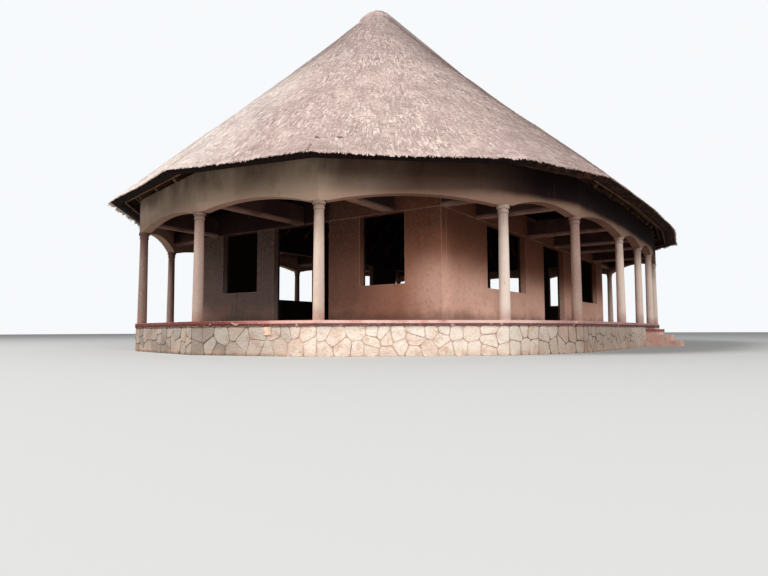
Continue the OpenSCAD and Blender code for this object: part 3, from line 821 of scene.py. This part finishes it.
# %% Drain block
drain_size, drain_deep, drain_rim, drain_recess, drain_edge = 0.15, 0.04, 0.034, 0.022, 0.004
clear_selection()
bpy.ops.mesh.primitive_cube_add(size=1.0, location=(0, 0, 0))
drain = bpy.context.object
drain.name = "drain_block"
bpy.ops.object.mode_set(mode="EDIT")
bpy.ops.transform.resize(value=(drain_size, drain_deep, drain_size))
bpy.ops.mesh.select_all(action="DESELECT")
edit = bmesh.from_edit_mesh(drain.data)
for face in edit.faces:
    face.select = face.normal.y < -0.9
bmesh.update_edit_mesh(drain.data)
bpy.ops.mesh.inset(thickness=drain_rim)
bpy.ops.mesh.inset(thickness=drain_edge, depth=-drain_recess)
bpy.ops.mesh.select_all(action="SELECT")
bpy.ops.mesh.bevel(offset=drain_edge, segments=1, affect="EDGES")
bpy.ops.object.mode_set(mode="OBJECT")
print("drain block has", len(drain.data.polygons), "faces")

# %% Place the drain block
drain_share, drain_out, drain_z = 0.63, 0.012, 0.465
drain_from, drain_to = plinth_corners[2], plinth_corners[3]
drain_way = (drain_to - drain_from).normalized()
drain_at = drain_from + (drain_to - drain_from) * drain_share
drain_at += Vector((drain_way.y, -drain_way.x)) * drain_out
turn_z = Matrix.Rotation(math.atan2(drain_way.y, drain_way.x), 4, "Z")
drain.data.transform(Matrix.Translation((drain_at.x, drain_at.y, drain_z)) @ turn_z)
drain.data.materials.append(finish("drain_plaster", (232, 202, 176), 0.9, [
    ("dirt", (188, 146, 118), 0.6, blotches(14.0, 0.46, 0.62)),
    ("lime", (250, 240, 226), 0.6, blotches(9.0, 0.5, 0.62)),
]))
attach(drain, "root")
print("drain block at", [round(v, 2) for v in drain_at])

# %% [markdown]
# ## Thatch
# The roof is laid with bundles of grass, butts down, so the surface is a skin of short
# straw ends that all point down the slope. Straight facets run from bay to bay at the
# eave, and further up the thatcher has rounded the hips away. One flat texture would look
# like a sheet of card, so the thatch is built in two parts: a thick coat with rounded
# hips and soft lumps, and thousands of small bundles laid on it and along the eave.
# The sizes below repeat the solids' own.

# %% Section of the roof
beam_top, plate_thick, rafter_thick, purlin_thick, seat = 3.66, 0.092, 0.128, 0.074, 0.012
thick_at_crown, thick_at_eave, hollow = 0.27, 0.19, 0.165
underside_out, lip_out, crown_rise = 0.56, 0.78, 0.128
slope = math.radians(42.5)
plumb = 1 / math.cos(slope)
roof_drop = ring_r * math.tan(slope)
under_ring = beam_top + plate_thick / 2 + (plate_thick / 2 + rafter_thick + purlin_thick - seat) * plumb
k_under, k_top = 1 + underside_out / ring_r, 1 + lip_out / ring_r


def under_z(k):
    """Height of the thatch's underside; k is 0 at the apex, 1 over the ring of columns."""
    return under_ring + roof_drop * (1 - k)


def top_z(k):
    laid = (thick_at_crown + (thick_at_eave - thick_at_crown) * k / k_top) * plumb
    return under_z(k) + laid - hollow * (1 - (2 * k / k_top - 1) ** 2)


print("underside at the crown", round(under_z(0), 2), "m, eave lip at", round(top_z(k_top), 2), "m")

# %% Bays
# A bay is named by the apexes above its two ends, then by its two columns.
quarters = {
    "near": [(near_apex, near_apex, near_cols[i], near_cols[i + 1]) for i in range(5)],
    "right": [(near_apex, near_apex, near_cols[5], right_cols[0]),
              (near_apex, far_apex, right_cols[0], right_cols[1]),
              (far_apex, far_apex, right_cols[1], far_cols[0])],
    "far": [(far_apex, far_apex, far_cols[i], far_cols[i + 1]) for i in range(4)],
    "left": [(far_apex, far_apex, far_cols[4], left_cols[0]),
             (far_apex, near_apex, left_cols[0], left_cols[1]),
             (near_apex, near_apex, left_cols[1], near_cols[0])],
}
print("bays:", {quarter: len(bays) for quarter, bays in quarters.items()})

# %% [markdown]
# ### Points on the roof
# Every point of the roof is named by its bay, its way t along that bay and its way k down
# the slope. One function turns that into a place, and rounds the hips: each bay is pushed
# out to the circle through its two columns, fully at mid slope and not at all at the lip,
# where the solids' own swell has run out. Soft lumps are then added from a small table of
# seeded random numbers, because a laid roof is never quite even.

# %% Roof surface
eave_swell, swell_from = 0.21, 0.75
least, least_k = 1e-6, 0.1


def smooth_step(x):
    x = np.clip(x, 0, 1)
    return x * x * (3 - 2 * x)


def plan_points(bay, t, k):
    """Places in plan, hips rounded, and the bay's outward direction."""
    a0, a1, p, q = (np.array(v) for v in bay)
    t, k = np.asarray(t)[..., None], np.asarray(k)[..., None]
    apex = a0 + (a1 - a0) * t
    foot = p + (q - p) * t
    along = (q - p) / np.linalg.norm(q - p)
    outward = np.array([along[1], -along[0]])
    reach = abs(np.dot(p - a0, outward))
    bulge = (ring_r - reach) * 4 * t * (1 - t)
    spare = eave_swell * np.clip((k_top - k) / (k_top - swell_from), 0, 1)
    share = spare / (roof_drop * (ring_r - reach + least) / ring_r * np.maximum(k, least_k))
    hold = share / (1 + share ** 4) ** 0.25
    return apex + (foot - apex) * k + outward * bulge * k * hold, outward


column_head = plan_points(quarters["near"][2], 0.0, 1.0)[0]
print("over the near column the roof is at", [round(float(v), 2) for v in column_head])

# %% Lumps
table_side, table_middle = 32, 40
noise_table = np.random.default_rng(7).random((table_side, table_side, table_side))
wide_lump, wide_size, small_lump, small_size = 0.020, 1.3, 0.006, 0.45
crown_fade, sideways = 6, 0.5


def cloud_at(x, y, z, size):
    """Smooth noise from -1 to 1 whose lumps are about the given size."""
    p = [np.asarray(v) / size + table_middle for v in (x, y, z)]
    base = [np.floor(v).astype(int) for v in p]
    part = [smooth_step(v - b) for v, b in zip(p, base)]
    out = 0
    for step in np.ndindex(2, 2, 2):
        cell = tuple((b + d) % table_side for b, d in zip(base, step))
        near = [w if d else 1 - w for w, d in zip(part, step)]
        out = out + near[0] * near[1] * near[2] * noise_table[cell]
    return out * 2 - 1


def coat_points(bay, t, k):
    """Points of the thatch surface, lumps included."""
    flat, outward = plan_points(bay, t, k)
    z = top_z(np.asarray(k))
    x, y = flat[..., 0], flat[..., 1]
    fade = np.clip(np.asarray(k) * crown_fade, 0, 1)
    lump = (wide_lump * cloud_at(x, y, z, wide_size) + small_lump * cloud_at(x + 9, y, z, small_size)) * fade
    return np.stack([x + outward[0] * lump * sideways, y + outward[1] * lump * sideways, z + lump], axis=-1)


sample = coat_points(quarters["near"][2], np.array([0.5]), np.array([0.5]))[0]
print("mid slope of the bay above the near column:", [round(float(v), 2) for v in sample])

# %% [markdown]
# ### Coat
# Each quarter's coat starts as a grid. Its columns run along the bays and its rows run
# round the section: out along the underside, up over the lip, and back up the slope. The
# rows meet, so merging the doubles closes the coat, and the two end faces are filled.
# A UV map keeps each point's metres along the eave and down the slope for the finish.

# %% Rows and columns of the coat
lip_belly, column_pitch = 0.02, 0.14
rows = [("under", k) for k in (0.0, 0.35, 0.7, 0.95, k_under)]
rows += [("lip", w) for w in (0.3, 0.62, 0.86)]
rows += [("top", k) for k in np.concatenate([np.linspace(k_top, 0.9, 13), np.linspace(0.885, 0.0, 60)])]
rows += [("under", 0.0)]


def section_points(kind, value, bay, t):
    """One row's points in one bay."""
    if kind == "under":
        a0, a1, p, q = (np.array(v) for v in bay)
        apex = a0 + (a1 - a0) * t[:, None]
        flat = apex + ((p + (q - p) * t[:, None]) - apex) * value
        return np.column_stack([flat, under_z(np.full_like(t, value))])
    if kind == "lip":
        low = section_points("under", k_under, bay, t)
        high = coat_points(bay, t, np.full_like(t, k_top))
        points = low + (high - low) * value
        points[:, 2] -= lip_belly * math.sin(math.pi * value)
        return points
    points = coat_points(bay, t, np.full_like(t, value))
    if value == 0.0:
        points[:, 2] = under_z(0) + crown_rise
    return points


def coat_columns(bays):
    """The bay and the way along it of each column, and its metres along the eave."""
    columns, metres = [], []
    for number, bay in enumerate(bays):
        length = np.linalg.norm(np.array(bay[3]) - np.array(bay[2])) * k_top
        ts = np.linspace(0, 1, max(8, int(length / column_pitch)) + 1)
        ts = ts if number == 0 else ts[1:]
        start = metres[-1] if metres else 0.0
        columns += [(number, t) for t in ts]
        metres += [start + t * length for t in ts]
    return columns, metres


print("a coat has", len(rows), "rows; the near one has", len(coat_columns(quarters["near"])[0]), "columns")

# %% Helpers for the coats
merge_gap, crease = 0.0006, math.radians(50)


def grid_of(name, wide, high):
    """A new grid, and the column and row of each of its points."""
    clear_selection()
    bpy.ops.mesh.primitive_grid_add(x_subdivisions=wide - 1, y_subdivisions=high - 1, size=1)
    grid = bpy.context.object
    grid.name = name
    place = np.empty(len(grid.data.vertices) * 3)
    grid.data.vertices.foreach_get("co", place)
    place = place.reshape(-1, 3)
    col = np.rint((place[:, 0] + 0.5) * (wide - 1)).astype(int)
    row = np.rint((place[:, 1] + 0.5) * (high - 1)).astype(int)
    return grid, col, row


def close_coat():
    """Merge the meeting rows of the active coat, fill its ends and turn its faces outward."""
    bpy.ops.object.mode_set(mode="EDIT")
    bpy.ops.mesh.select_all(action="SELECT")
    bpy.ops.mesh.remove_doubles(threshold=merge_gap)
    bpy.ops.mesh.select_all(action="DESELECT")
    bpy.ops.mesh.select_non_manifold()
    bpy.ops.mesh.fill_holes(sides=0)
    bpy.ops.mesh.select_all(action="SELECT")
    bpy.ops.mesh.normals_make_consistent(inside=False)
    bpy.ops.object.mode_set(mode="OBJECT")
    bpy.ops.object.shade_smooth_by_angle(angle=crease)


print("points within", merge_gap, "m of each other are merged")

# %% Build the coats
def build_coat(name, bays):
    columns, metres = coat_columns(bays)
    coat, col, row = grid_of(name, len(columns), len(rows))
    bay_of, t_of = (np.array(v) for v in zip(*columns))
    points = np.empty((len(col), 3))
    for r, (kind, value) in enumerate(rows):
        for b, bay in enumerate(bays):
            picked = np.where((row == r) & (bay_of[col] == b))[0]
            points[picked] = section_points(kind, value, bay, t_of[col[picked]])
    butts = [min(row[v] for v in face.vertices) for face in coat.data.polygons]
    coat.data.polygons.foreach_set("material_index", [int(rows[r][0] != "top") for r in butts])
    coat.data.vertices.foreach_set("co", points.ravel())
    down = np.array([value for kind, value in rows])[row] * ring_r * plumb
    corner = np.empty(len(coat.data.loops), dtype=int)
    coat.data.loops.foreach_get("vertex_index", corner)
    coat.data.uv_layers[0].name = "lay"
    lay = np.column_stack([np.array(metres)[col], down])[corner]
    coat.data.uv_layers[0].data.foreach_set("uv", lay.ravel())
    close_coat()
    return coat


coats = {}
for quarter, bays in quarters.items():
    coat = build_coat(f"{quarter}_thatch_coat", bays)
    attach(coat, "root")
    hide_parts(f"{quarter}_thatch")
    coats[quarter] = coat
print("coats:", {q: len(c.data.polygons) for q, c in coats.items()})

# %% [markdown]
# ### Straw tufts
# A tuft is a slim wedge: its thin upper end sinks into the coat and its wider cut end
# stands a little proud. One tuft is modelled from a three-sided cone and then copied by
# the thousand into one mesh per quarter, because thousands of loose objects would choke
# the scene. It has only four faces. Each copy gets its own length, turn, lift and tone,
# and the tone is kept in a UV map that the finish reads.

# %% One tuft
tuft_sunk = 0.3
clear_selection()
bpy.ops.mesh.primitive_cone_add(vertices=3, radius1=0.5, radius2=0.0, depth=1.0, location=(0, 0, 0))
tuft = bpy.context.object
tuft.name = "straw_tuft"
bpy.ops.object.mode_set(mode="EDIT")
bpy.ops.transform.rotate(value=math.radians(90), orient_axis="X", center_override=(0, 0, 0))
bpy.ops.object.mode_set(mode="OBJECT")
ends = [v.co.y for v in tuft.data.vertices]
if sum(y < 0 for y in ends) == 1:
    tuft.data.transform(Matrix.Rotation(math.pi, 4, "Z"))
lowest = min(v.co.z for v in tuft.data.vertices)
tuft.data.transform(Matrix.Translation((0, 0, -lowest - tuft_sunk)))
tuft_points = np.array([v.co[:] for v in tuft.data.vertices])
tuft.data.calc_loop_triangles()
tuft_faces = np.array([t.vertices[:] for t in tuft.data.loop_triangles])
bpy.data.objects.remove(tuft)
tip = tuft_points[np.argmax(tuft_points[:, 1])]
print("tuft has", len(tuft_faces), "faces, tip at", [round(float(v), 2) for v in tip])

# %% Copy the tuft
def copies_of_tuft(origins, x_axes, y_axes, z_axes, sizes, tones, name):
    """One mesh of many copies of the tuft; their tones go into the UV map."""
    local = tuft_points[None] * sizes[:, None, :]
    world = (origins[:, None, :] + local[..., 0:1] * x_axes[:, None, :] + local[..., 1:2] * y_axes[:, None, :]
             + local[..., 2:3] * z_axes[:, None, :])
    first = np.arange(len(origins)) * len(tuft_points)
    corners = (tuft_faces[None] + first[:, None, None]).reshape(-1, 3)
    mesh = bpy.data.meshes.new(name)
    mesh.from_pydata(world.reshape(-1, 3), [], corners)
    tone = np.repeat(tones, tuft_faces.size)
    mesh.uv_layers.new(name="tone").data.foreach_set("uv", np.column_stack([tone, tone]).ravel())
    straw = bpy.data.objects.new(name, mesh)
    bpy.context.scene.collection.objects.link(straw)
    return straw


print("each copy adds", len(tuft_points), "points")

# %% Turn tufts down the slope
step_down, step_along, end_along, proud = 0.012, 0.01, 1.02, 0.15


def unit(v):
    return v / np.linalg.norm(v, axis=-1, keepdims=True)


def roof_frames(bay, t, k):
    """Place, down-slope, sideways and outward directions at points of the roof."""
    here = coat_points(bay, t, k)
    down = unit(coat_points(bay, t, k + step_down) - here)
    across = unit(coat_points(bay, np.clip(t + step_along, 0, end_along), k) - here)
    outward = unit(np.cross(across, down))
    outward *= np.sign(outward[:, 2:3])
    return here, down, np.cross(down, outward), outward


def lay_tufts(rng, bay, t, k, lift, length, width, thick, spread):
    """Origins, axes and sizes of tufts that lie down the slope, each swung a little."""
    here, down, across, outward = roof_frames(bay, t, k)
    swing = rng.normal(0, spread, len(t))[:, None]
    butt = unit(down + across * swing + outward * lift[:, None])
    x_axis = unit(np.cross(-butt, outward))
    z_axis = np.cross(x_axis, -butt)
    origin = here + outward * (thick * proud)[:, None]
    return origin, x_axis, -butt, z_axis, np.column_stack([width, length, thick])


down_here = roof_frames(quarters["near"][2], np.array([0.5]), np.array([0.5]))[1][0]
print("straw above the near column points", [round(float(v), 2) for v in down_here])

# %% Tufts on the slope
top_gap, lip_gap, broad_share, slope_swing = 0.075, 0.012, 0.4, 0.11
broad_length, broad_width, broad_thick = (0.22, 0.46), (0.030, 0.052), 0.007
slim_length, slim_width, slim_thick = (0.14, 0.30), (0.016, 0.028), 0.005
slope_lift, thick_range = (0.008, 0.022), (0.8, 1.3)


def slope_tufts(rng, bay, per_square):
    """Slim and broad tufts strewn evenly over a bay, with their tones."""
    a0, a1, p, q = (np.array(v) for v in bay)
    foot, ridge = np.linalg.norm(q - p), np.linalg.norm(a1 - a0)
    area = ring_r * k_top * plumb * (foot * k_top + ridge) / 2
    n = int(area * per_square)
    k = rng.random(n) if ridge else np.sqrt(rng.random(n))
    k = top_gap + (k_top - top_gap - lip_gap) * k
    t = rng.random(n)
    broad = rng.random(n) < broad_share
    length = np.where(broad, rng.uniform(*broad_length, n), rng.uniform(*slim_length, n))
    width = np.where(broad, rng.uniform(*broad_width, n), rng.uniform(*slim_width, n))
    lift = rng.uniform(*slope_lift, n)
    thick = np.where(broad, broad_thick, slim_thick) * rng.uniform(*thick_range, n)
    return lay_tufts(rng, bay, t, k, lift, length, width, thick, slope_swing), rng.random(n)


strewn = slope_tufts(np.random.default_rng(1), quarters["near"][2], per_square=400)
print("the bay above the near column takes about", len(strewn[1]), "tufts")

# %% Tufts along the eave
fringe_pitch, fringe_reaches, fringe_swing = 0.014, (0.0100, 0.0072, 0.0048), 0.24
fringe_length, fringe_width, fringe_thick = (0.11, 0.18), (0.016, 0.036), (0.012, 0.022)
fringe_lift, fringe_tone = (-0.20, 0.0), 0.15
ragged, ragged_wave, wave_size, rows_apart = 0.0028, 0.0042, 0.18, 900


def fringe_row(rng, bay, reach):
    """One row of cut ends along a bay's eave, with their tones."""
    foot = np.linalg.norm(np.array(bay[3]) - np.array(bay[2]))
    m = int(foot * k_top / fringe_pitch)
    t = np.clip((np.arange(m) + rng.uniform(-0.5, 0.5, m)) / m, 0.0, 1.0)
    k = np.full(m, k_top - reach) + rng.normal(0, ragged, m)
    k = k + ragged_wave * cloud_at(t * foot, reach * rows_apart, foot, wave_size)
    lift = rng.uniform(*fringe_lift, m)
    length, width = rng.uniform(*fringe_length, m), rng.uniform(*fringe_width, m)
    thick = rng.uniform(*fringe_thick, m)
    laid = lay_tufts(rng, bay, t, k, lift, length, width, thick, fringe_swing)
    return laid, fringe_tone + (1 - fringe_tone) * rng.random(m)


one_row = fringe_row(np.random.default_rng(1), quarters["near"][2], fringe_reaches[0])
print("the eave of that bay takes", len(one_row[1]), "tufts a row")

# %% [markdown]
# ### Worn corner
# The hip above the near corner has split, and birds have opened two small holes beside
# it. Both are too small to cut from the coat, so a few dark tufts stand up there as
# painted shade in the split and the holes.

# %% Worn corner
crack_tufts, crack_long, hole_tufts = 26, 0.034, 12
hole_places = ((0.012, 0.004, 1.052), (0.125, 0.006, 1.048))
crack_stray, hole_stray, dark_swing = 0.0016, 0.002, 0.3
dark_length, dark_width, dark_thick, dark_lift = (0.04, 0.08), (0.018, 0.034), 0.03, 0.12


def worn_corner(rng):
    """Dark tufts for the split hip and the two bird holes, with their tones."""
    k_split = k_top - rng.uniform(0.0, crack_long, crack_tufts)
    spots = [(np.abs(rng.normal(0, crack_stray, crack_tufts)), k_split)]
    for t_at, t_spread, k_at in hole_places:
        t_hole = t_at + rng.normal(0, t_spread, hole_tufts)
        spots.append((t_hole, k_at + rng.normal(0, hole_stray, hole_tufts)))
    t, k = (np.concatenate(v) for v in zip(*spots))
    m = len(t)
    length, width = rng.uniform(*dark_length, m), rng.uniform(*dark_width, m)
    lift, thick = np.full(m, dark_lift), np.full(m, dark_thick)
    bay = quarters["near"][3]
    laid = lay_tufts(rng, bay, np.clip(t, 0, 1), k, lift, length, width, thick, dark_swing)
    # tone 0 gives the darkest tufts: painted shade in the split and the holes
    return laid, np.zeros(m)


print("worn corner:", len(worn_corner(np.random.default_rng(1))[1]), "dark tufts")

# %% Lay the straw
# For each quarter: its seed, and its tufts on a square metre of slope.
straw_counts = {"near": (11, 440), "right": (12, 400), "far": (13, 400), "left": (14, 360)}
straws = {}
for quarter, bays in quarters.items():
    seed, per_square = straw_counts[quarter]
    rng = np.random.default_rng(seed)
    laid = []
    for bay in bays:
        laid.append(slope_tufts(rng, bay, per_square))
        laid += [fringe_row(rng, bay, reach) for reach in fringe_reaches]
    if quarter == "near":
        laid.append(worn_corner(rng))
    joined = [np.concatenate([tufts[i] for tufts, tones in laid]) for i in range(5)]
    all_tones = np.concatenate([tones for tufts, tones in laid])
    straw = copies_of_tuft(*joined, all_tones, f"{quarter}_straw_tufts")
    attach(straw, "root")
    straws[quarter] = straw
print("tufts:", {q: len(s.data.polygons) // len(tuft_faces) for q, s in straws.items()})

# %% [markdown]
# ### Straw finish
# Sun has bleached the grass to a pale pinkish tan, with greyer clouds where it holds damp
# and dark gaps between bundles. The coat gets streaks down the slope, and each bundle
# takes a tone of its own. The lower left is painted palest, as painted light, and the
# tufts on the right slope are painted duller, as painted shade.

# %% Finish of the coat
damp_crown = (band(6.2, 8.6, 1.2, 0.5), blotches(0.9, 0.1, 0.5))
painted_light_low_left = (band(8.5, 5.5, 1.5, 0.5), band(-6.6, -4.4, 0.6, 0.5, TO_RIGHT))
fine_lines = streaks(70.0, 9.0, 0.5, 0.64)
straw_coat = finish("straw_coat", (206, 186, 177), 0.95, [
    ("clouds", (180, 156, 149), 0.6, blotches(0.35, 0.42, 0.62)),
    ("dark streaks", (150, 126, 118), 0.6, streaks(26.0, 3.6, 0.50, 0.66)),
    ("fine pale lines", (228, 210, 198), 0.5, fine_lines),
    ("greyer crown", (158, 137, 132), 0.6, *damp_crown),
    # painted light on the lower left
    ("bleached left", (242, 230, 222), 0.6, band(2.2, -2.4, 1.6, 0.4, TO_RIGHT), *painted_light_low_left),
], [(-0.004, fine_lines)])

# the underside and the lip are painted nearly black: painted shade under the eave
straw_butts_in_painted_shade = finish("straw_butts_in_painted_shade", (44, 30, 29), 0.96, [
    ("gaps", (22, 14, 15), 0.85, blotches(22.0, 0.42, 0.6)),
    ("cut ends", (112, 88, 76), 0.5, blotches(40.0, 0.62, 0.69)),
    ("rusty right", (128, 82, 62), 0.5, band(4.6, 6.2, 0.6, 0.8, RIGHT_AND_FAR), blotches(9.0, 0.45, 0.6)),
], [(0.02, blotches(45.0, 0.3, 0.7))])
print("coat finishes:", straw_coat.name, straw_butts_in_painted_shade.name)

# %% Finish of the tufts
straw_loose = finish("straw_tufts", (170, 150, 141), 0.92, [
    ("pale tufts", (228, 212, 202), 0.9, own_tone(0.70, 0.82)),
    ("dark tufts", (120, 100, 95), 0.85, own_tone(0.30, 0.18)),
    ("darkest tufts", (98, 76, 70), 0.8, own_tone(0.07, 0.03)),
    # painted shade on the right slope
    ("duller right", (180, 158, 151), 0.5, band(1.0, 2.8, 1.4, 0.5, TO_RIGHT), blotches(0.7, 0.1, 0.55)),
    ("wide clouds", (166, 144, 138), 0.6, blotches(0.30, 0.42, 0.60)),
    ("damp patches", (150, 130, 124), 0.6, blotches(1.3, 0.48, 0.62)),
    ("dry patches", (206, 184, 173), 0.5, blotches(2.1, 0.52, 0.66, (1, 1, 0.5))),
    ("greyer crown", (140, 120, 116), 0.7, *damp_crown),
    # painted light on the lower left
    ("bleached left", (250, 240, 231), 0.68, band(1.8, -1.8, 1.6, 0.4, TO_RIGHT), *painted_light_low_left),
])
for quarter in quarters:
    coats[quarter].data.materials.append(straw_coat)
    coats[quarter].data.materials.append(straw_butts_in_painted_shade)
    straws[quarter].data.materials.append(straw_loose)
print("tuft finish:", straw_loose.name)

# %% [markdown]
# ### Ridge and crown caps
# The ridge cap and the domed caps over the two ends of the ridge keep their solids. Their
# straw is packed tighter than the slope's, so a grainy finish with a deeper bump does,
# darker above a height of about ten metres.

# %% Finish of the caps
caps = finish("straw_cap", (178, 158, 152), 0.9, [
    ("clouds", (152, 130, 128), 0.6, blotches(2.2, 0.42, 0.62)),
    ("dark rim", (92, 78, 80), 0.75, band(9.99, 10.06, 0.03, 1.5)),
    ("dark grain", (122, 98, 96), 0.5, blotches(16.0, 0.52, 0.66)),
    ("pale grain", (216, 194, 184), 0.4, blotches(8.0, 0.56, 0.68)),
], [(0.016, blotches(18.0, 0.25, 0.75))])
wear(["ridge_cap", "apex_caps"], caps)
